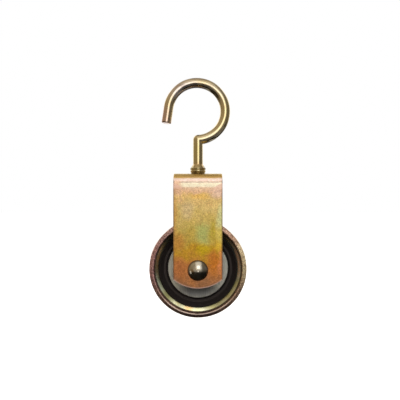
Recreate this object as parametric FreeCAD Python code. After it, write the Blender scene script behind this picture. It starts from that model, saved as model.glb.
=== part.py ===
import FreeCAD, Part
import math
import os

# Single-sheave pulley block with an open swivel hook. Millimetres, +Z up, front faces -Y.
# The origin is the hook's seat: the inside of the hook's crown, straight above the shank.

# Hook: one round bar, bent to a question mark
bar_r = 2.6
ring_r = 15.0
ring_x = -0.65
ring_above_axle = 82.05
ring_end_deg = 171.5
tip_length = 8.6
tip_round = 0.6

# Upset collar above the strap, peened tail and washer under it
collar_r = 4.15
collar_height = 4.9
collar_waist = 2.3
tail_head_r = 4.0
tail_head_height = 2.4
tail_head_edge = 0.4
tail_head_flat_r = 1.2
swivel_washer_r = 4.9
swivel_washer_thick = 1.2
swivel_gap = 0.1
washer_edge = 0.2

# Strap: flat bar bent to an inverted U
strap_width = 24.7
strap_thick = 2.0
strap_depth = 22.6
strap_bend_r = 6.2
strap_above_axle = 48.8
strap_corner_drop = 4.5
strap_end_drop = 9.0
strap_edge_round = 0.4

# Axle
axle_r = 3.0
pin_gap = 0.05
rivet_head_r = 5.2
rivet_head_height = 2.6
rivet_tail_r = 4.4
rivet_tail_height = 2.0
rivet_tail_edge = 0.4
rivet_tail_flat_r = 2.0
burr_r = 6.0
burr_thick = 1.2
sleeve_r = 4.6

# Wheel, running on the sleeve; its two halves meet in the middle plane
wheel_r = 24.95
wheel_half_width = 7.6
groove_r = 18.5
groove_floor = 0.4
groove_mouth = 5.0
lip_back = 5.8
sheet = 1.2
web_face = 1.15
web_bore_r = 7.2
crease_r = 22.2
crease_y = 5.3
bowl_offset = 16.05
lip_crest_r = 23.2
insert_r = 20.25
insert_face = 2.75
insert_relief = 0.8
insert_wall = 0.6
ridge_r = 17.3
hub_r = 6.4
hub_end = 7.9
disc_r = 15.5
disc_face = 3.75
disc_edge = 0.3
boss_r = 9.2
boss_end = 9.2
boss_sheet = 0.9
web_rivet_count = 4
web_rivet_r = 1.5
web_rivet_head_r = 2.4
web_rivet_head_height = 0.45
web_rivet_pitch_r = 11.0
small_gap = 0.1
running_gap = 0.06

# Heights worked out from the dimensions above
inner_ring_r = ring_r - bar_r
axle_z = -(ring_above_axle + math.sqrt(inner_ring_r ** 2 - ring_x ** 2))
ring_z = axle_z + ring_above_axle
crown_z = axle_z + strap_above_axle
corner_z = ring_z - math.sqrt(ring_r ** 2 - ring_x ** 2)
ear_outer = strap_depth / 2
ear_inner = ear_outer - strap_thick

V = FreeCAD.Vector
AXLE = V(0, 0, axle_z)


def outline(place, steps):
    """A closed face. A step is a point (line to it) or a pair of points (arc through, arc to)."""
    edges = []
    last = steps[0]
    for step in steps[1:] + [steps[0]]:
        if isinstance(step[0], tuple):
            through, end = step
            edges.append(Part.Arc(place(*last), place(*through), place(*end)).toShape())
            last = end
        else:
            edges.append(Part.LineSegment(place(*last), place(*step)).toShape())
            last = step
    return Part.Face(Part.Wire(edges))


def turned_on_axle(steps):
    """A ring about the axle. Steps are (distance along the axle, radius)."""
    face = outline(lambda along, radius: V(0, along, axle_z + radius), steps)
    return face.revolve(AXLE, V(0, 1, 0), 360)


def turned_on_shank(steps):
    """A ring about the hook's shank. Steps are (radius, height)."""
    face = outline(lambda radius, height: V(radius, 0, height), steps)
    return face.revolve(V(0, 0, 0), V(0, 0, 1), 360)


def front_copy(shape):
    """The same piece turned half way round the shank, for the front side of the wheel."""
    copy = shape.copy()
    copy.rotate(V(0, 0, 0), V(0, 0, 1), 180)
    return copy


def hook_shank():
    """Straight shank with the upset collar above the strap and the peened head below it."""
    collar_low = crown_z + swivel_gap
    collar_top = crown_z + collar_height
    waist_z = crown_z + collar_waist
    head_z = crown_z - strap_thick - swivel_gap - swivel_washer_thick
    return turned_on_shank([
        (0, corner_z),
        (bar_r, corner_z),
        (bar_r, collar_top + 0.6),
        ((bar_r + 0.12, collar_top + 0.1), (bar_r + 0.45, collar_top - 0.3)),
        (collar_r - 0.25, waist_z + 1.05),
        ((collar_r, waist_z + 0.6), (collar_r - 0.2, waist_z + 0.15)),
        (collar_r - 0.4, waist_z),
        (collar_r - 0.2, waist_z - 0.15),
        ((collar_r - 0.1, waist_z - 0.6), (collar_r - 0.25, waist_z - 1.1)),
        (collar_r - 0.55, collar_low + 0.2),
        (collar_r - 0.75, collar_low),
        (bar_r, collar_low),
        (bar_r, head_z),
        (tail_head_r, head_z),
        (tail_head_r, head_z - tail_head_edge),
        ((tail_head_r * 0.78, head_z - tail_head_height * 0.72), (tail_head_flat_r, head_z - tail_head_height)),
        (0, head_z - tail_head_height),
    ])


def swivel_hook():
    """Shank, sharp elbow, ring and straight tip of one bar."""
    centre = V(ring_x, 0, ring_z)
    start = Part.Face(Part.Wire(Part.makeCircle(bar_r, V(0, 0, corner_z), V(1, 0, 0))))
    start_deg = math.degrees(math.atan2(corner_z - ring_z, -ring_x))
    start.rotate(V(0, 0, corner_z), V(0, 1, 0), -(start_deg + 90))
    ring = start.revolve(centre, V(0, -1, 0), ring_end_deg - start_deg)
    end = math.radians(ring_end_deg)
    ring_end = centre + V(math.cos(end), 0, math.sin(end)) * ring_r
    along = V(-math.sin(end), 0, math.cos(end))
    tip = Part.makeCylinder(bar_r, tip_length, ring_end, along)
    tip_edge = [edge for edge in tip.Edges
                if edge.Closed and (edge.CenterOfMass - ring_end).Length > tip_length / 2]
    tip = tip.makeFillet(tip_round, tip_edge)
    elbow = Part.makeSphere(bar_r, V(0, 0, corner_z))
    return ring.fuse([tip, elbow, hook_shank()]).removeSplitter()


def swivel_washer():
    """Washer between the strap and the hook's peened tail."""
    top = crown_z - strap_thick - swivel_gap
    low = top - swivel_washer_thick
    return turned_on_shank([
        (bar_r + pin_gap, low),
        (swivel_washer_r, low),
        (swivel_washer_r, top - washer_edge),
        (swivel_washer_r - washer_edge, top),
        (bar_r + pin_gap, top),
    ])


def strap_blank():
    """The bent bar, square at the ear ends."""
    low = axle_z - strap_end_drop
    inner_r = strap_bend_r - strap_thick
    sink = strap_bend_r * (1 - math.sqrt(0.5))
    inner_sink = strap_thick + inner_r * (1 - math.sqrt(0.5))
    bend_z = crown_z - strap_bend_r
    steps = [
        (-ear_outer, low),
        (-ear_outer, bend_z),
        ((-ear_outer + sink, crown_z - sink), (-ear_outer + strap_bend_r, crown_z)),
        (ear_outer - strap_bend_r, crown_z),
        ((ear_outer - sink, crown_z - sink), (ear_outer, bend_z)),
        (ear_outer, low),
        (ear_inner, low),
        (ear_inner, bend_z),
        ((ear_outer - inner_sink, crown_z - inner_sink),
         (ear_outer - strap_bend_r, crown_z - strap_thick)),
        (-ear_outer + strap_bend_r, crown_z - strap_thick),
        ((-ear_outer + inner_sink, crown_z - inner_sink), (-ear_inner, bend_z)),
        (-ear_inner, low),
    ]
    face = outline(lambda y, z: V(-strap_width / 2, y, z), steps)
    return face.extrude(V(strap_width, 0, 0))


def strap():
    """Strap with curved ear ends, a swivel hole in the crown and an axle hole in each ear."""
    half = strap_width / 2
    side = outline(lambda x, z: V(x, -ear_outer, z), [
        (-half, crown_z),
        (-half, axle_z - strap_corner_drop),
        ((0, axle_z - strap_end_drop), (half, axle_z - strap_corner_drop)),
        (half, crown_z),
    ]).extrude(V(0, strap_depth, 0))
    body = strap_blank().common(side)
    outer = [edge for edge in body.Edges if is_outer_edge(edge)]
    body = body.makeFillet(strap_edge_round, outer)
    below_crown = V(0, 0, crown_z - 2 * strap_thick)
    swivel_hole = Part.makeCylinder(bar_r + running_gap, 3 * strap_thick, below_crown)
    axle_hole = Part.makeCylinder(axle_r + pin_gap, strap_depth, V(0, -ear_outer, axle_z), V(0, 1, 0))
    return body.cut([swivel_hole, axle_hole])


def is_outer_edge(edge):
    """True for the edges round the strap's outer skin, where the shears left a rounded edge."""
    middle = edge.valueAt((edge.FirstParameter + edge.LastParameter) / 2)
    on_side = abs(abs(middle.x) - strap_width / 2) < 0.01
    on_ear = abs(abs(middle.y) - ear_outer) < 0.01
    on_crown = abs(middle.z - crown_z) < 0.01
    bend = math.hypot(abs(middle.y) - (ear_outer - strap_bend_r), middle.z - (crown_z - strap_bend_r))
    on_bend = abs(bend - strap_bend_r) < 0.01
    across = abs(middle.x) < 0.01
    return (on_side or across and on_ear) and (on_ear or on_crown or on_bend)


def axle_rivet():
    """Rivet with a spherical head, peened at the back over the burr."""
    tail = ear_outer + burr_thick
    top = -ear_outer - rivet_head_height
    dome_r = (rivet_head_r ** 2 + rivet_head_height ** 2) / (2 * rivet_head_height)
    half_way = math.asin(rivet_head_r / dome_r) / 2
    return turned_on_axle([
        (top, 0),
        ((top + dome_r * (1 - math.cos(half_way)), dome_r * math.sin(half_way)), (-ear_outer, rivet_head_r)),
        (-ear_outer, axle_r),
        (tail, axle_r),
        (tail, rivet_tail_r),
        (tail + rivet_tail_edge, rivet_tail_r),
        ((tail + rivet_tail_height * 0.75, rivet_tail_r * 0.8), (tail + rivet_tail_height, rivet_tail_flat_r)),
        (tail + rivet_tail_height, 0),
    ])


def rivet_burr():
    """Washer under the rivet's peened end."""
    return turned_on_axle([
        (ear_outer, axle_r + pin_gap),
        (ear_outer, burr_r),
        (ear_outer + burr_thick - washer_edge, burr_r),
        (ear_outer + burr_thick, burr_r - washer_edge),
        (ear_outer + burr_thick, axle_r + pin_gap),
    ])


def axle_sleeve():
    """Tube that holds the ears apart and carries the wheel."""
    return turned_on_axle([
        (-ear_inner, axle_r + pin_gap),
        (ear_inner, axle_r + pin_gap),
        (ear_inner, sleeve_r),
        (-ear_inner, sleeve_r),
    ])


def cover_disc():
    """Pressed disc beside the hub, with a raised boss that meets the ear."""
    back = disc_face - sheet
    boss_back = boss_end - boss_sheet
    hole = sleeve_r + running_gap
    return turned_on_axle([
        (back, disc_r),
        (disc_face - disc_edge, disc_r),
        (disc_face, disc_r - disc_edge),
        (disc_face, boss_r),
        (boss_end - 0.5, boss_r - 1.2),
        (boss_end, boss_r - 1.7),
        (boss_end, hole),
        (boss_back, hole),
        (boss_back, boss_r - 2.3),
        (back, boss_r - boss_sheet),
    ])


def around_web(count, piece):
    """Copies of a piece set evenly round the axle, the first straight above it."""
    copies = []
    for index in range(count):
        copy = piece.copy()
        copy.rotate(AXLE, V(0, 1, 0), 360 * index / count)
        copies.append(copy)
    return copies


def drilled(ring):
    """The ring with the holes for the wheel's rivets."""
    start = V(0, -wheel_half_width, axle_z + web_rivet_pitch_r)
    hole = Part.makeCylinder(web_rivet_r + pin_gap, 2 * wheel_half_width, start, V(0, 1, 0))
    return ring.cut(around_web(web_rivet_count, hole))


def web_rivets():
    """Flat-headed rivets that clamp the two inserts and the two webs together."""
    face = insert_face - insert_relief
    middle = V(0, 0, axle_z + web_rivet_pitch_r)
    along = V(0, 1, 0)
    shank = Part.makeCylinder(web_rivet_r, 2 * face, middle - along * face, along)
    head = Part.makeCylinder(web_rivet_head_r, web_rivet_head_height, middle + along * face, along)
    tail = Part.makeCylinder(web_rivet_head_r, web_rivet_head_height, middle - along * face, -along)
    rivet = shank.fuse([head, tail]).removeSplitter()
    return Part.makeCompound(around_web(web_rivet_count, rivet))


def hub_insert():
    """Moulded bush: a tube on the sleeve, and a dished flange that lines the bowl of the wheel."""
    lining = bowl_offset - small_gap * math.sqrt(2)
    front = lining - insert_wall * math.sqrt(2)
    edge_y = insert_r - lining
    return drilled(turned_on_axle([
        (0, sleeve_r + running_gap),
        (0, web_bore_r - small_gap),
        (web_face + small_gap, web_bore_r - small_gap),
        (web_face + small_gap, web_face + small_gap + lining - 1.2),
        (web_face + 1.1, web_face + 1.1 + lining),
        (edge_y - 0.1, insert_r - 0.1),
        ((edge_y + 0.25, insert_r - 0.05), (edge_y + 0.5, edge_y + 0.5 + front)),
        (insert_face + 0.25, insert_face + 0.25 + front),
        ((insert_face + 0.07, front + insert_face - 0.02), (insert_face, front + insert_face - 0.25)),
        (insert_face, ridge_r + 0.1),
        ((insert_face + 0.4, ridge_r - 0.35), (insert_face, ridge_r - 0.8)),
        (insert_face, disc_r + 0.9),
        (insert_face - insert_relief, disc_r + 0.5),
        (insert_face - insert_relief, hub_r),
        (hub_end, hub_r),
        (hub_end, sleeve_r + running_gap),
    ]))


def sheave_half():
    """Pressed half of the wheel: flat web, flared bowl, and a thick lip outside the rope groove."""
    flare_start = insert_r - 0.1
    return drilled(turned_on_axle([
        (0, web_bore_r),
        (0, groove_r),
        (groove_floor, groove_r + 0.15),
        (groove_mouth, groove_r + groove_mouth - 0.25),
        ((lip_back - 0.35, wheel_r - 0.85), (lip_back, wheel_r - 0.25)),
        ((wheel_half_width - 1.2, wheel_r), (wheel_half_width - 0.5, wheel_r - 0.35)),
        (wheel_half_width - 0.05, lip_crest_r),
        ((wheel_half_width - 0.1, lip_crest_r - 0.42), (wheel_half_width - 0.4, lip_crest_r - 0.62)),
        (crease_y + 0.25, crease_r + 0.15),
        (crease_y + 0.2, crease_r),
        (crease_y, crease_r - 0.05),
        ((crease_y - 0.53, crease_r - 0.9), (flare_start - bowl_offset, flare_start)),
        (web_face + 0.9, web_face + 0.9 + bowl_offset),
        ((web_face + 0.2, bowl_offset + web_face - 0.1), (web_face, bowl_offset + web_face - 1.0)),
        (web_face, web_bore_r),
    ]))


def build():
    """Each node's name with its solid."""
    disc = cover_disc()
    insert = hub_insert()
    half = sheave_half()
    return {
        "swivel_hook": swivel_hook(),
        "swivel_washer": swivel_washer(),
        "strap": strap(),
        "axle_rivet": axle_rivet(),
        "rivet_burr": rivet_burr(),
        "axle_sleeve": axle_sleeve(),
        "cover_disc_front": front_copy(disc),
        "cover_disc_rear": disc,
        "hub_insert_front": front_copy(insert),
        "hub_insert_rear": insert,
        "sheave_half_front": front_copy(half),
        "sheave_half_rear": half,
        "web_rivets": web_rivets(),
    }


os.makedirs("parts", exist_ok=True)
for name, shape in build().items():
    solid = shape.Solids[0] if len(shape.Solids) == 1 else shape
    solid.exportStep("parts/" + name + ".step")
    print(name, "solids", len(shape.Solids), "valid", solid.isValid(), "volume", round(solid.Volume, 1))
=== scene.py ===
import math

import bpy
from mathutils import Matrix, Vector


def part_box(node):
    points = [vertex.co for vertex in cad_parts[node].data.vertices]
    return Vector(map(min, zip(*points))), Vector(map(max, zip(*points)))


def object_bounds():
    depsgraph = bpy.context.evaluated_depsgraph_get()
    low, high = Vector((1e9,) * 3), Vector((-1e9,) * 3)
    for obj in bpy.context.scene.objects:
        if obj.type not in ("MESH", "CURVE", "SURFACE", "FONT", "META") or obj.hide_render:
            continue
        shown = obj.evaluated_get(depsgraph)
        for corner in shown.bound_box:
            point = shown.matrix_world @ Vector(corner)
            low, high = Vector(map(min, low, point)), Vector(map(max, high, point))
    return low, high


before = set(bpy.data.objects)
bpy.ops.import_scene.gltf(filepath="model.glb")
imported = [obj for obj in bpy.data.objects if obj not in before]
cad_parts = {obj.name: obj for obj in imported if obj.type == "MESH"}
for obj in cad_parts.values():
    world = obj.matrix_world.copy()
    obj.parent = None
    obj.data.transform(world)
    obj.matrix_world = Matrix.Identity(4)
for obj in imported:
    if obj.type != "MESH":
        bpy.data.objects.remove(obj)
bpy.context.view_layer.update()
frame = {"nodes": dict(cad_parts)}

MM = 0.001
WHITE = (1, 1, 1, 1)

# Camera: level, looking along +Y at the block's mid-height; place and sensor in millimetres,
# nearest seen distance in metres.
CAMERA_PLACE = (1.06, -206.9, -59.2)
CAMERA_LENS = 35.24
SENSOR_WIDTH = 36
NEAREST_SEEN = 0.005

# Places and sizes that the patterns follow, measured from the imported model, in millimetres.
AXLE_Z = (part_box("axle_rivet")[0][2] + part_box("axle_rivet")[1][2]) / 2 / MM
STRAP_LOW, STRAP_HIGH = ([v / MM for v in corner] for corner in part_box("strap"))
STRAP_WIDE = STRAP_HIGH[0] - STRAP_LOW[0]
STRAP_TALL = STRAP_HIGH[2] - STRAP_LOW[2]
# The pale band under the bend, a painted reflection of the lights, ends in slanted corners.
CREAM_SLOPE = 1.5
CREAM_TOP = STRAP_HIGH[2] - 5.1
CREAM_CORNER = STRAP_HIGH[0] - 1.2 - CREAM_SLOPE * CREAM_TOP
# The round end of the ear: the height of its centre, and its radius.
EAR_ARC_Z = AXLE_Z + 10.2
EAR_ARC_R = EAR_ARC_Z - STRAP_LOW[2]
# The wheel from the hub outwards: hub insert and its ridge, crease of the bowl, edge of the lip.
INSERT_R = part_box("hub_insert_front")[1][0] / MM
RIDGE_R = INSERT_R - 2.95
CREASE_R = INSERT_R + 1.97
LIP_EDGE_R = CREASE_R + 0.85
# The rivet's head, and how far the painted shade reaches from the hook's shank.
RIVET_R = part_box("axle_rivet")[1][0] / MM
SHANK_SHADE_R = 9.0
# The plain floor: how far under the block, half its width, and its own glow.
FLOOR_DROP = 80.0
FLOOR_HALF = 4000.0
FLOOR_GLOW = 0.75

HOOK, RIVET, STRAP = ("swivel_hook",), ("axle_rivet",), ("strap",)
WHEEL = ("sheave_half_front", "sheave_half_rear")
# The low card leaves these alone: glossy ones would mirror it, the discs would lose their shadow.
POLISHED = ("swivel_hook", "swivel_washer", "axle_rivet", "rivet_burr", "cover_disc_front", "cover_disc_rear")
# Lights: name, azimuth, elevation, distance and size in metres, radiance, only for, not for.
CARDS = (
    ("key_softbox", 8, 38, 0.70, (0.70, 1.10), 0.6, (), HOOK),
    ("key_middle", 8, 38, 0.65, (0.32, 0.34), 1.2, (), HOOK + RIVET),
    ("low_front_card", 4, -12, 0.60, (0.50, 0.30), 0.9, (), POLISHED),
    ("lip_card", 46, 14, 0.60, (0.30, 0.44), 0.85, WHEEL, ()),
    ("rivet_card", 6, 24, 0.60, (0.30, 0.30), 1.5, RIVET, ()),
    ("hook_card", 6, 13, 0.60, (0.30, 0.34), 1.1, HOOK, ()),
    ("hook_softbox", 8, 30, 0.70, (0.60, 1.00), 0.35, HOOK, ()),
    ("hook_band_card", 0, -9, 0.70, (0.90, 0.10), 0.22, HOOK, ()),
    ("hook_quarter_card", 48, -14, 0.70, (0.30, 0.34), 0.16, HOOK, ()),
    ("hook_side_card", 82, -30, 0.70, (0.50, 0.36), 0.18, HOOK, ()),
    ("hook_low_card", 0, -38, 0.80, (1.20, 0.50), 0.11, HOOK, ()),
    ("hook_under_card", 180, -60, 0.80, (1.20, 0.90), 0.32, HOOK, ()),
    ("rivet_wide_card", 0, 6, 0.60, (1.00, 0.52), 0.20, RIVET, ()),
    ("rivet_side_card", -70, -22, 0.60, (0.16, 0.20), 0.9, RIVET, ()),
    ("quarter_card_left", -56, -6, 0.70, (0.44, 0.70), 1.0, STRAP, ()),
    ("quarter_card_right", 56, -6, 0.70, (0.44, 0.70), 1.0, STRAP, ()),
    ("flank_card_left", -95, 15, 0.70, (0.40, 0.60), 0.6, STRAP + WHEEL, ()),
    ("flank_card_right", 95, 15, 0.70, (0.40, 0.60), 0.6, STRAP + WHEEL, ()),
    ("rear_side_card_left", -138, 25, 0.70, (0.36, 0.60), 0.9, (), ()),
    ("rear_side_card_right", 138, 25, 0.70, (0.36, 0.60), 0.9, (), ()),
    ("rear_card", 180, 15, 0.70, (0.60, 0.60), 1.0, (), ()),
)


def rgb(red, green, blue):
    """Linear colour from the usual 0 to 255 values."""
    def linear(value):
        value /= 255
        return value / 12.92 if value <= 0.04045 else ((value + 0.055) / 1.055) ** 2.4
    return (linear(red), linear(green), linear(blue), 1.0)


class Finish:
    """A material under construction; lengths in its patterns are millimetres of the object at rest."""

    def __init__(self, name):
        self.made = bpy.data.materials.new(name)
        self.made.use_nodes = True
        self.tree = self.made.node_tree
        self.tree.nodes.clear()
        self.surface = self.add("ShaderNodeBsdfPrincipled")
        self.add("ShaderNodeOutputMaterial", {0: self.surface.outputs[0]})
        place = self.add("ShaderNodeTexCoord").outputs["Object"]
        self.place = self.add("ShaderNodeVectorMath", {0: place, 3: 1 / MM}, operation="SCALE").outputs[0]
        self.x, self.y, self.z = self.split(self.place)

    def feed(self, socket, value):
        """Links another node's output to a socket, or sets the socket's own value."""
        if isinstance(value, bpy.types.NodeSocket):
            self.tree.links.new(value, socket)
        else:
            socket.default_value = value

    def add(self, kind, inputs=None, **settings):
        node = self.tree.nodes.new(kind)
        for name, value in settings.items():
            setattr(node, name, value)
        for key, value in (inputs or {}).items():
            self.feed(node.inputs[key], value)
        return node

    def split(self, vector):
        return self.add("ShaderNodeSeparateXYZ", {0: vector}).outputs

    def join(self, x, y, z):
        return self.add("ShaderNodeCombineXYZ", {0: x, 1: y, 2: z}).outputs[0]

    def math(self, operation, a, b=0.0, c=0.0):
        return self.add("ShaderNodeMath", {0: a, 1: b, 2: c}, operation=operation).outputs[0]

    def vector(self, operation, a, b):
        return self.add("ShaderNodeVectorMath", {0: a, 1: b}, operation=operation).outputs[0]

    def length(self, vector):
        return self.add("ShaderNodeVectorMath", {0: vector}, operation="LENGTH").outputs["Value"]

    def away_from(self, value, middle):
        """Distance of a value from its middle, on either side."""
        return self.math("ABSOLUTE", self.math("SUBTRACT", value, middle))

    def step(self, value, low, high, start=0.0, end=1.0):
        """Smooth change from start to end while the value goes from low to high."""
        inputs = {0: value, 1: low, 2: high, 3: start, 4: end}
        return self.add("ShaderNodeMapRange", inputs, interpolation_type="SMOOTHSTEP").outputs[0]

    def noise(self, size, detail=2.0, roughness=0.5, stretch=(1, 1, 1), place=None):
        """Cloudy value around 0.5 whose features have the given size, drawn out by stretch."""
        place = self.vector("DIVIDE", place or self.place, stretch)
        inputs = {"Vector": place, "Scale": 1 / size, "Detail": detail, "Roughness": roughness}
        return self.add("ShaderNodeTexNoise", inputs).outputs[0]

    def warped(self, size, amount, place=None):
        """Place pushed about by up to half of amount, with waves of the given size."""
        place = place or self.place
        inputs = {"Vector": place, "Scale": 1 / size, "Detail": 2.0}
        push = self.add("ShaderNodeTexNoise", inputs).outputs[1]
        push = self.vector("SUBTRACT", push, (0.5, 0.5, 0.5))
        push = self.add("ShaderNodeVectorMath", {0: push, 3: amount}, operation="SCALE").outputs[0]
        return self.vector("ADD", place, push)

    def mix(self, share, a, b, blend="MIX"):
        inputs = {0: share, 6: a, 7: b}
        return self.add("ShaderNodeMix", inputs, data_type="RGBA", blend_type=blend).outputs[2]

    def patches(self, colour, spots, place):
        """Lays soft elliptical spots (x, z, half width, half height, colour, strength) over a colour."""
        for x, z, wide, tall, tint, strength in spots:
            scale = (1 / wide, 0, 1 / tall)
            inputs = {"Vector": place, "Location": (-x / wide, 0, -z / tall), "Scale": scale}
            offset = self.add("ShaderNodeMapping", inputs).outputs[0]
            share = self.step(self.length(offset), 0.2, 1.0, strength, 0.0)
            colour = self.mix(share, colour, rgb(*tint))
        return colour

    def gradient(self, value, stops):
        """Colour along stops of (value from 0 to 1, colour), lowest first."""
        node = self.add("ShaderNodeValToRGB", {0: value})
        elements = node.color_ramp.elements
        while len(elements) < len(stops):
            elements.new(0.5)
        for element, (at, colour) in zip(elements, stops):
            element.position = at
            element.color = rgb(*colour)
        return node.outputs[0]

    def shade(self, colour, value, low, high):
        """Colour multiplied by a grey that goes from low to high with the value around 0.5."""
        grey = self.step(value, 0.3, 0.7, low, high)
        return self.mix(1.0, colour, self.join(grey, grey, grey), "MULTIPLY")

    def relief(self, *layers):
        """Normal with bump layers (height, depth in millimetres) one on the other."""
        normal = None
        for height, depth in layers:
            inputs = {"Height": height, "Distance": depth * MM}
            if normal:
                inputs["Normal"] = normal
            normal = self.add("ShaderNodeBump", inputs).outputs[0]
        return normal

    def finish(self, colour, roughness, normal, metallic=1.0, specular=0.5):
        self.surface.inputs["Specular IOR Level"].default_value = specular
        inputs = {"Base Color": colour, "Roughness": roughness, "Normal": normal, "Metallic": metallic}
        for key, value in inputs.items():
            self.feed(self.surface.inputs[key], value)
        return self.made


def radius_from_axle(finish):
    """Distance of a point from the wheel's axis."""
    up = finish.math("SUBTRACT", finish.z, AXLE_Z)
    return finish.length(finish.join(finish.x, 0.0, up))


# Chromate colours of the strap by height, from the ear's end to the top of the bend; from 0.872 to 0.96 the
# stops are a painted reflection of the lights on the bend: a cream band, a dark line and a pink band.
STRAP_BANDS = (
    (0.03, (158, 110, 74)), (0.10, (178, 118, 72)), (0.19, (184, 120, 62)), (0.27, (190, 140, 54)),
    (0.33, (193, 148, 46)), (0.40, (190, 160, 68)), (0.50, (192, 170, 90)), (0.60, (204, 178, 102)),
    (0.70, (214, 188, 120)), (0.79, (226, 190, 124)), (0.835, (232, 190, 150)), (0.872, (237, 203, 172)),
    (0.884, (254, 243, 214)), (0.911, (255, 246, 216)), (0.917, (192, 174, 158)), (0.929, (198, 180, 162)),
    (0.936, (236, 208, 198)), (0.954, (250, 230, 214)), (0.960, (240, 202, 132)), (1.0, (216, 186, 108)),
)

# Clouds on the front ear, in shares of its size: across, up, half width, half height, colour, strength.
STRAP_CLOUDS = (
    (0.04, 0.88, 0.20, 0.08, (226, 178, 146), 0.8),
    (0.55, 0.795, 0.28, 0.035, (234, 190, 105), 0.8),
    (0.92, 0.82, 0.26, 0.07, (236, 202, 182), 0.8),
    (0.28, 0.68, 0.20, 0.12, (208, 184, 136), 0.8),
    (0.02, 0.62, 0.10, 0.30, (206, 160, 88), 0.8),
    (0.60, 0.47, 0.23, 0.15, (176, 180, 106), 0.95),
    (0.97, 0.62, 0.15, 0.16, (214, 216, 156), 0.9),
    (0.95, 0.45, 0.15, 0.13, (212, 190, 96), 0.85),
    (0.92, 0.35, 0.13, 0.08, (218, 180, 58), 0.8),
    (0.0, 0.06, 0.25, 0.10, (142, 102, 74), 0.7),
    (0.10, 0.40, 0.22, 0.12, (190, 134, 64), 0.8),
    (0.62, 0.34, 0.24, 0.07, (192, 162, 34), 0.9),
    (0.80, 0.50, 0.10, 0.14, (192, 172, 62), 0.7),
    (0.10, 0.18, 0.28, 0.14, (180, 112, 66), 0.8),
    (0.83, 0.22, 0.20, 0.14, (196, 118, 44), 0.9),
    (0.98, 0.22, 0.09, 0.17, (220, 138, 84), 0.9),
)


def clouds_in_place(clouds, low, wide, tall):
    """The clouds with their places and sizes in millimetres."""
    for across, up, half_wide, half_tall, colour, strength in clouds:
        x, z = low[0] + across * wide, low[2] + up * tall
        yield x, z, half_wide * wide, half_tall * tall, colour, strength


def strap_colours(finish, up):
    """Chromate bands and clouds, with painted reflection bands on the bend; up is 0 at the ear's end and 1 at
    the top of the bend.
    """
    bend_low, bend_high = 0.80, 0.87
    ear_drift, bend_drift = 0.30, 0.012
    drift = finish.math("SUBTRACT", finish.noise(6.0, 2.0), 0.5)
    drift = finish.math("MULTIPLY", drift, finish.step(up, bend_low, bend_high, ear_drift, bend_drift))
    colour = finish.gradient(finish.math("ADD", up, drift), STRAP_BANDS)
    # The clouds drift sideways and up with depth, so that the back differs from the front.
    lean = finish.math("ADD", finish.y, -STRAP_LOW[1])
    x = finish.math("MULTIPLY_ADD", lean, -0.5, finish.x)
    z = finish.math("MULTIPLY_ADD", lean, 0.35, finish.z)
    place = finish.warped(5.0, 4.0, finish.join(x, finish.y, z))
    colour = finish.patches(colour, clouds_in_place(STRAP_CLOUDS, STRAP_LOW, STRAP_WIDE, STRAP_TALL), place)
    # The pickled grain is coarse on the ears and faint on the bend.
    darkest, lightest = (finish.step(up, 0.85, 0.89, *ends) for ends in ((0.72, 0.93), (1.22, 1.06)))
    colour = finish.shade(colour, finish.noise(0.5, 3.0, 0.65), darkest, lightest)
    colour = finish.shade(colour, finish.noise(2.6, 3.0, 0.6), 0.93, 1.06)
    warm = finish.step(finish.noise(0.8, 3.0, 0.6, place=place), 0.48, 0.75, 0.0, 0.28)
    return finish.mix(warm, colour, rgb(205, 130, 90))


def strap_edges(finish, colour):
    """Painted shade along the long edges of the ears, and a painted highlight along their round ends."""
    # Painted shade: dark strip along the long edges of the outer faces.
    edge_wide, edge_solid, edge_strength = 0.95, 0.2, 0.6
    across = finish.math("ABSOLUTE", finish.x)
    edge = finish.step(across, STRAP_HIGH[0] - edge_wide, STRAP_HIGH[0] - edge_solid, 0.0, edge_strength)
    on_ear = finish.step(finish.math("ABSOLUTE", finish.y), STRAP_HIGH[1] - 0.7, STRAP_HIGH[1] - 0.3)
    colour = finish.mix(finish.math("MULTIPLY", edge, on_ear), colour, rgb(112, 84, 64))
    # Painted highlight: pale line along the round end of the ear.
    end_highlight_wide, end_highlight_solid, end_highlight_strength = 0.6, 0.3, 0.4
    away = finish.vector("SUBTRACT", finish.join(finish.x, 0.0, finish.z), (0.0, 0.0, EAR_ARC_Z))
    arc = finish.step(finish.length(away), EAR_ARC_R - end_highlight_wide, EAR_ARC_R - end_highlight_solid, 0.0, end_highlight_strength)
    low = finish.step(finish.z, AXLE_Z, AXLE_Z - 4.0)
    return finish.mix(finish.math("MULTIPLY", low, arc), colour, rgb(225, 196, 190))


def strap_corners(finish, colour):
    """Pink corners of the pale band, a painted reflection, and painted shade around the hook's shank."""
    # Painted reflection: pink corners at the slanted ends of the pale band.
    slant = finish.math("MULTIPLY_ADD", finish.z, -CREAM_SLOPE, finish.math("ABSOLUTE", finish.x))
    corner = finish.step(slant, CREAM_CORNER, CREAM_CORNER + 0.7, 0.0, 0.7)
    for none, full in ((CREAM_TOP + 0.2, CREAM_TOP - 0.1), (CREAM_TOP - 3.5, CREAM_TOP - 1.8)):
        corner = finish.math("MULTIPLY", corner, finish.step(finish.z, none, full))
    colour = finish.mix(corner, colour, rgb(236, 196, 178))
    # Painted shade: dark ring on the top of the bend around the hook's shank.
    from_shank = finish.length(finish.join(finish.x, finish.y, 0.0))
    shank_shade = finish.math("MULTIPLY", finish.step(from_shank, SHANK_SHADE_R - 4.0, SHANK_SHADE_R, 0.85, 0.0),
                         finish.step(finish.z, STRAP_HIGH[2] - 1.5, STRAP_HIGH[2] - 0.5))
    return finish.mix(shank_shade, colour, rgb(62, 46, 30))


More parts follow.
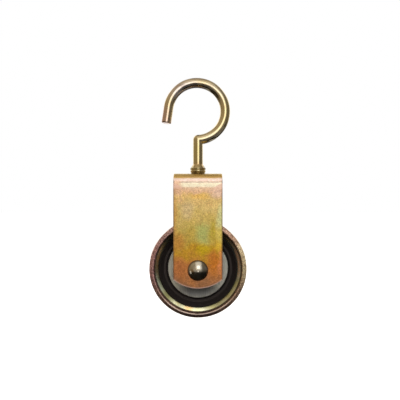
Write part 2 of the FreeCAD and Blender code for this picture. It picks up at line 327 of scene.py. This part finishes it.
def strap_finish():
    """Satin zinc plate with the iridescent clouds of yellow chromate and a fine pickled grain, with painted
    reflection bands on the bend and painted shade and highlight at the edges.
    """
    finish = Finish("yellow_zinc_satin")
    up = finish.add("ShaderNodeMapRange", {0: finish.z, 1: STRAP_LOW[2], 2: STRAP_HIGH[2]}).outputs[0]
    colour = strap_corners(finish, strap_edges(finish, strap_colours(finish, up)))
    roughness = finish.step(finish.noise(0.9, 3.0), 0.3, 0.7, 0.32, 0.44)
    normal = finish.relief((finish.noise(0.45, 3.0, 0.6), 0.018), (finish.noise(4.0, 1.0), 0.05))
    return finish.finish(colour, roughness, normal)


# Colours along the hook, some of them painted shade: x, z, half width, half height (millimetres), colour,
# strength.
HOOK_TINTS_AND_SHADE = (
    (-8.0, -2.0, 14.0, 9.0, (222, 208, 200), 0.95),
    (-19.0, -17.0, 7.0, 12.0, (222, 190, 180), 0.95),
    (9.0, -2.0, 9.0, 8.0, (232, 218, 190), 0.8),
    (17.0, -14.0, 6.0, 14.0, (226, 208, 154), 0.8),
    (8.0, -27.0, 9.0, 6.0, (230, 216, 184), 0.8),
    (-1.0, -34.0, 4.0, 8.0, (218, 202, 142), 0.9),
    (1.0, -41.0, 4.0, 4.0, (220, 188, 134), 0.7),
    (0.0, -43.5, 4.0, 3.5, (206, 192, 146), 0.8),
    # Painted shade on the two sides of the collar.
    (-3.6, -41.6, 2.4, 3.2, (72, 62, 42), 0.95),
    (3.8, -41.6, 2.4, 3.2, (88, 82, 74), 0.95),
    # Painted shade on the top of the crown and on its underside.
    (-1.0, 5.4, 15.0, 2.8, (172, 158, 144), 0.9),
    (-1.0, -0.4, 12.0, 2.0, (104, 92, 92), 0.9),
    # Painted shade under the bar right of the elbow and in the elbow's dent.
    (5.4, -29.6, 3.4, 1.8, (90, 82, 76), 0.9),
    (-0.4, -24.6, 1.2, 0.9, (70, 60, 44), 0.9),
)


def hook_finish():
    """Smooth drawn bar under yellow chromate: glossier, with pink and olive drifts along the bar and painted
    shade on the collar, the crown and the elbow.
    """
    finish = Finish("yellow_zinc_bar")
    colour = finish.patches(rgb(224, 206, 164), HOOK_TINTS_AND_SHADE, finish.warped(5.0, 5.0))
    tan = finish.step(finish.noise(2.4, 3.0, 0.6), 0.5, 0.75, 0.0, 0.4)
    colour = finish.mix(tan, colour, rgb(205, 168, 130))
    colour = finish.shade(colour, finish.noise(0.6, 3.0, 0.6), 0.93, 1.06)
    roughness = finish.step(finish.noise(1.4, 3.0), 0.3, 0.7, 0.12, 0.20)
    normal = finish.relief((finish.noise(0.6, 3.0, 0.6), 0.002), (finish.noise(3.5, 1.0), 0.02))
    return finish.finish(colour, roughness, normal)


# Colours of the wheel's lip: x and z from the axle, half width, half height, colour, strength. The pink and
# gold hues are the plate's own; the bright right side is partly painted light and the dark bottom is painted
# shade.
LIP_TINT_AND_LIGHT = (
    (-25.0, 4.0, 13.0, 26.0, (222, 172, 172), 0.9),
    (-17.0, 17.0, 9.0, 9.0, (186, 152, 152), 0.7),
    (25.0, 3.0, 12.0, 21.0, (250, 224, 180), 0.95),
    (18.0, 18.0, 7.0, 7.0, (190, 150, 122), 0.6),
    (19.0, -17.0, 9.0, 9.0, (226, 186, 154), 0.6),
    (0.0, -25.0, 18.0, 8.0, (150, 122, 124), 0.8),
)

# Colours of the bowl, measured in the same way: painted shade keeps the sides greyer and the top darker than
# the bottom, and the amber spot at the bottom is a painted reflection of the ear.
BOWL_SHADE_AND_REFLECTION = (
    (-20.0, -4.0, 10.0, 17.0, (130, 136, 114), 0.9),
    (20.0, 6.0, 9.0, 15.0, (170, 184, 184), 0.9),
    (-16.0, -15.0, 6.0, 5.5, (132, 130, 78), 0.85),
    (-13.0, 16.0, 12.0, 10.0, (92, 100, 96), 0.9),
    (12.0, 17.0, 12.0, 9.0, (100, 92, 74), 0.8),
    (-5.0, -20.5, 3.4, 2.2, (238, 176, 92), 0.6),
)

# Painted highlight and painted shade along the lower part of the lip: radius, half width, strength, colour.
LIP_LINES = (
    (LIP_EDGE_R, 0.35, 0.8, (246, 228, 214)),
    (LIP_EDGE_R + 1.0, 0.4, 0.6, (70, 50, 48)),
)


def on_wheel(clouds):
    """Clouds whose heights are from the axle, placed in the frame."""
    return [(x, AXLE_Z + z, *rest) for x, z, *rest in clouds]


def lip_colours(finish, radius, below):
    """Dull speckled lip with a painted highlight line and a painted shade line along its lower part."""
    lip = finish.patches(rgb(214, 176, 156), on_wheel(LIP_TINT_AND_LIGHT), finish.warped(6.0, 5.0))
    lip = finish.shade(lip, finish.noise(0.75, 3.0, 0.8), 0.30, 1.45)
    lip = finish.shade(lip, finish.noise(2.4, 2.0), 0.85, 1.1)
    # Painted highlight and painted shade lines, on the lower part only.
    for middle, half, strength, tint in LIP_LINES:
        line = finish.step(finish.away_from(radius, middle), 0.1, half, strength, 0.0)
        lip = finish.mix(finish.math("MULTIPLY", below, line), lip, rgb(*tint))
    return lip


def bowl_colours(finish, radius, below):
    """Bright bowl with amber clouds at the bottom, painted shade at the sides and top, a painted reflection
    of the ear, and a ragged dark ring around the hub.
    """
    dark_ring_solid, dark_ring_end = INSERT_R + 0.4, INSERT_R + 1.9
    bowl = finish.mix(finish.step(finish.noise(5.0, 2.0), 0.4, 0.7), rgb(220, 219, 186), rgb(212, 207, 152))
    amber = finish.step(finish.noise(3.2, 2.0), 0.60, 0.72, 0.0, 0.5)
    bowl = finish.mix(finish.math("MULTIPLY", amber, below), bowl, rgb(225, 170, 95))
    # Painted shade on the sides and top of the bowl, and a painted reflection of the ear.
    bowl = finish.patches(bowl, on_wheel(BOWL_SHADE_AND_REFLECTION), finish.warped(6.0, 3.0))
    bowl = finish.shade(bowl, finish.noise(0.4, 3.0, 0.7), 0.85, 1.05)
    # Ragged dark ring at the foot of the bowl, around the hub insert.
    ragged = finish.math("MULTIPLY_ADD", finish.noise(0.5, 3.0, 0.7), 1.1, radius)
    return finish.mix(finish.step(ragged, dark_ring_solid, dark_ring_end, 0.75, 0.0), bowl, rgb(76, 74, 44))


def wheel_finish():
    """Pressed wheel: bright bowl, dull grained lip outside the crease, painted shade in the crease."""
    finish = Finish("yellow_zinc_wheel")
    radius = radius_from_axle(finish)
    below = finish.step(finish.z, AXLE_Z - 11.0, AXLE_Z - 19.0)
    outside = finish.step(radius, CREASE_R - 0.1, CREASE_R + 0.15)
    colour = finish.mix(outside, bowl_colours(finish, radius, below), lip_colours(finish, radius, below))
    # Painted shade: dark line along the crease.
    crease_shade = finish.step(finish.away_from(radius, CREASE_R), 0.08, 0.28, 0.85, 0.0)
    colour = finish.mix(crease_shade, colour, rgb(40, 28, 26))
    smooth = finish.step(finish.noise(1.0, 3.0), 0.3, 0.7, 0.14, 0.24)
    satin = finish.step(finish.noise(0.7, 3.0), 0.3, 0.7, 0.42, 0.58)
    roughness = finish.add("ShaderNodeMix", {0: outside, 2: smooth, 3: satin}).outputs[0]
    on_lip = CREASE_R, CREASE_R + 0.2
    depth = finish.math("MULTIPLY", finish.noise(0.45, 3.0, 0.6), finish.step(radius, *on_lip, 0.12, 1.0))
    metallic = finish.step(radius, *on_lip, 0.78, 1.0)
    return finish.finish(colour, roughness, finish.relief((depth, 0.04)), metallic)


# The same for the cover discs: the two darker bands low on the disc are a painted shadow of the ear's end,
# and the middle is darker too.
DISC_PATCHES_AND_SHADOW = (
    (0.0, -12.0, 15.0, 5.5, (160, 167, 178), 0.9),
    (0.0, -10.5, 13.0, 3.0, (120, 124, 130), 0.8),
    (0.0, 0.0, 9.0, 9.0, (184, 184, 178), 0.9),
)


def disc_finish():
    """Dull grey zinc with fine streaks from the rolling of the sheet, and a painted shadow of the ear low on
    the disc.
    """
    finish = Finish("grey_zinc_sheet")
    streaks = finish.noise(0.35, 3.0, 0.6, stretch=(1, 1, 9))
    colour = finish.mix(finish.noise(2.5, 3.0), rgb(238, 242, 234), rgb(248, 252, 244))
    colour = finish.patches(colour, on_wheel(DISC_PATCHES_AND_SHADOW), finish.warped(4.0, 2.0))
    colour = finish.shade(colour, streaks, 0.82, 1.12)
    roughness = finish.step(finish.noise(0.8, 3.0), 0.3, 0.7, 0.38, 0.52)
    normal = finish.relief((streaks, 0.012), (finish.noise(0.5, 3.0), 0.012))
    return finish.finish(colour, roughness, normal, metallic=0.2)


def rivet_finish():
    """Bright pressed steel with slight tarnish and handling marks, and painted shade around the rim of the
    head.
    """
    finish = Finish("bright_rivet_steel")
    tarnish = finish.step(finish.noise(1.8, 3.0), 0.45, 0.7, 0.0, 0.7)
    colour = finish.mix(tarnish, rgb(194, 187, 172), rgb(182, 152, 104))
    colour = finish.shade(colour, finish.noise(0.4, 3.0, 0.6), 0.92, 1.05)
    # Painted shade: darker ring at the rim of the head.
    rim_shade = finish.step(radius_from_axle(finish), RIVET_R - 1.1, RIVET_R - 0.1, 0.0, 0.8)
    colour = finish.mix(rim_shade, colour, rgb(84, 66, 40))
    roughness = finish.step(finish.noise(0.8, 3.0), 0.3, 0.7, 0.15, 0.22)
    return finish.finish(colour, roughness, finish.relief((finish.noise(0.9, 2.0), 0.003)))


def inner_finish():
    """Plain turned steel of the hidden sleeve, washers and web rivets."""
    finish = Finish("turned_steel")
    rings = finish.noise(0.3, 2.0, stretch=(6, 1, 6))
    colour = finish.mix(finish.noise(2.0), rgb(150, 146, 140), rgb(175, 170, 160))
    colour = finish.shade(colour, rings, 0.85, 1.05)
    roughness = finish.step(finish.noise(0.8), 0.3, 0.7, 0.28, 0.40)
    return finish.finish(colour, roughness, finish.relief((rings, 0.01)))


def nylon_finish():
    """Black moulded nylon with a faint spark texture and dust, and a painted highlight on the ridge."""
    finish = Finish("black_nylon")
    dust = finish.step(finish.noise(1.2, 4.0, 0.7), 0.55, 0.8, 0.0, 0.25)
    colour = finish.mix(dust, rgb(43, 38, 38), rgb(82, 76, 70))
    # Painted highlight: lighter ring along the ridge.
    ridge = finish.step(finish.away_from(radius_from_axle(finish), RIDGE_R), 0.1, 0.8, 0.45, 0.0)
    colour = finish.mix(ridge, colour, rgb(92, 84, 82))
    roughness = finish.step(finish.noise(0.8, 3.0), 0.3, 0.7, 0.48, 0.62)
    return finish.finish(colour, roughness, finish.relief((finish.noise(0.4, 3.0), 0.02)), 0.0, 0.2)


def dress_nodes():
    """Gives every carried-over CAD node its finish."""
    finishes = {
        "hook_zinc": hook_finish(),
        "strap_zinc": strap_finish(),
        "wheel_zinc": wheel_finish(),
        "disc_zinc": disc_finish(),
        "rivet_steel": rivet_finish(),
        "inner_steel": inner_finish(),
        "hub_nylon": nylon_finish(),
    }
    for node in frame["nodes"].values():
        for slot in node.material_slots:
            slot.material = finishes[slot.material.name.split(".")[0]]


def aimed_light(name, azimuth, elevation, distance, size, radiance):
    """White rectangular light that faces the object; azimuth is from the front, towards +X."""
    turn, rise = math.radians(azimuth), math.radians(elevation)
    towards = Vector((math.sin(turn) * math.cos(rise), -math.cos(turn) * math.cos(rise), math.sin(rise)))
    light = bpy.data.lights.new(name, "AREA")
    light.shape = "RECTANGLE"
    light.size, light.size_y = size
    light.energy = radiance * math.pi * size[0] * size[1]
    lamp = bpy.data.objects.new(name, light)
    lamp.location = Vector((0, 0, CAMERA_PLACE[2] * MM)) + towards * distance
    lamp.rotation_euler = towards.to_track_quat("Z", "Y").to_euler()
    bpy.context.scene.collection.objects.link(lamp)
    return lamp


def light_only(lamp, names):
    """Keeps a light for the named nodes."""
    lit = bpy.data.collections.new(lamp.name + "_lit")
    for name in names:
        lit.objects.link(frame["nodes"][name])
    lamp.light_linking.receiver_collection = lit


def lights():
    """Makes every light of CARDS, and keeps it for the nodes that it is meant for."""
    for name, azimuth, elevation, distance, size, radiance, lit, left_out in CARDS:
        lamp = aimed_light(name, azimuth, elevation, distance, size, radiance)
        if lit or left_out:
            light_only(lamp, [node for node in lit or frame["nodes"] if node not in left_out])


def sky_value(tree, value, stops):
    """Colour ramp over a value from -1 to 1."""
    span = tree.nodes.new("ShaderNodeMapRange")
    span.inputs[1].default_value = -1
    ramp = tree.nodes.new("ShaderNodeValToRGB")
    elements = ramp.color_ramp.elements
    while len(elements) < len(stops):
        elements.new(0.5)
    for element, (at, colour) in zip(elements, stops):
        element.position = (at + 1) / 2
        element.color = (*colour, 1)
    tree.links.new(value, span.inputs[0])
    tree.links.new(span.outputs[0], ramp.inputs[0])
    return ramp.outputs[0]


# The room by height, by side and by depth: place from -1 to 1, colour.
ROOM_HEIGHT = (
    (-1.0, (0.02, 0.02, 0.02)), (-0.35, (0.025, 0.023, 0.02)), (-0.05, (0.30, 0.28, 0.25)),
    (0.35, (0.36, 0.34, 0.30)), (1.0, (0.52, 0.50, 0.47)),
)
ROOM_SIDE = (
    (-1.0, (1.05, 0.90, 0.66)), (0.10, (1.0, 0.92, 0.78)), (0.6, (0.48, 0.46, 0.42)),
    (1.0, (0.50, 0.49, 0.48)),
)
ROOM_DEPTH = ((-1.0, (0.0, 0.0, 0.0)), (0.2, (0.0, 0.0, 0.0)), (0.6, (1.0, 1.0, 1.0)), (1.0, (1.0, 1.0, 1.0)))


def room_colour(tree):
    """Graded room: warmer and brighter to the left in front, even at the back."""
    new, link = tree.nodes.new, tree.links.new
    split = new("ShaderNodeSeparateXYZ")
    link(new("ShaderNodeTexCoord").outputs["Generated"], split.inputs[0])
    side = new("ShaderNodeMix")
    side.data_type = "RGBA"
    link(sky_value(tree, split.outputs[1], ROOM_DEPTH), side.inputs[0])
    link(sky_value(tree, split.outputs[0], ROOM_SIDE), side.inputs[6])
    side.inputs[7].default_value = WHITE
    room = new("ShaderNodeMix")
    room.data_type, room.blend_type = "RGBA", "MULTIPLY"
    room.inputs[0].default_value = 1
    link(sky_value(tree, split.outputs[2], ROOM_HEIGHT), room.inputs[6])
    link(side.outputs[2], room.inputs[7])
    return room.outputs[2]


def studio_world():
    """White backdrop for the camera; a dim graded room for light and reflections."""
    world = bpy.data.worlds.new("studio")
    world.use_nodes = True
    bpy.context.scene.world = world
    tree = world.node_tree
    tree.nodes.clear()
    new, link = tree.nodes.new, tree.links.new
    room = new("ShaderNodeBackground")
    link(room_colour(tree), room.inputs[0])
    white = new("ShaderNodeBackground")
    white.inputs[0].default_value = WHITE
    choose = new("ShaderNodeMixShader")
    link(new("ShaderNodeLightPath").outputs["Is Camera Ray"], choose.inputs[0])
    link(room.outputs[0], choose.inputs[1])
    link(white.outputs[0], choose.inputs[2])
    link(choose.outputs[0], new("ShaderNodeOutputWorld").inputs[0])


def pale_floor():
    """Large plain floor under the hanging block, seen by the camera but not mirrored in the metal."""
    half = FLOOR_HALF * MM
    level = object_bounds()[0][2] - FLOOR_DROP * MM
    mesh = bpy.data.meshes.new("floor")
    corners = [(-half, -half, level), (half, -half, level), (half, half, level), (-half, half, level)]
    mesh.from_pydata(corners, [], [(0, 1, 2, 3)])
    floor = bpy.data.objects.new("floor", mesh)
    bpy.context.scene.collection.objects.link(floor)
    floor.visible_glossy = False
    floor.visible_diffuse = False
    finish = Finish("floor_paper")
    colour = finish.mix(finish.noise(40.0, 2.0), rgb(252, 252, 252), rgb(250, 250, 250))
    roughness = finish.step(finish.noise(30.0), 0.3, 0.7, 0.85, 0.9)
    finish.finish(colour, roughness, finish.relief((finish.noise(5.0), 0.02)), 0.0, 0.2)
    finish.surface.inputs["Emission Color"].default_value = WHITE
    finish.surface.inputs["Emission Strength"].default_value = FLOOR_GLOW
    mesh.materials.append(finish.made)


def camera():
    """Level camera, close to the block."""
    data = bpy.data.cameras.new("camera")
    data.lens = CAMERA_LENS
    data.sensor_width = SENSOR_WIDTH
    data.clip_start = NEAREST_SEEN
    made = bpy.data.objects.new("camera", data)
    made.location = [v * MM for v in CAMERA_PLACE]
    made.rotation_euler = (math.pi / 2, 0, 0)
    bpy.context.scene.collection.objects.link(made)
    bpy.context.scene.camera = made


dress_nodes()
studio_world()
lights()
pale_floor()
camera()
bpy.context.scene.view_settings.view_transform = "Standard"
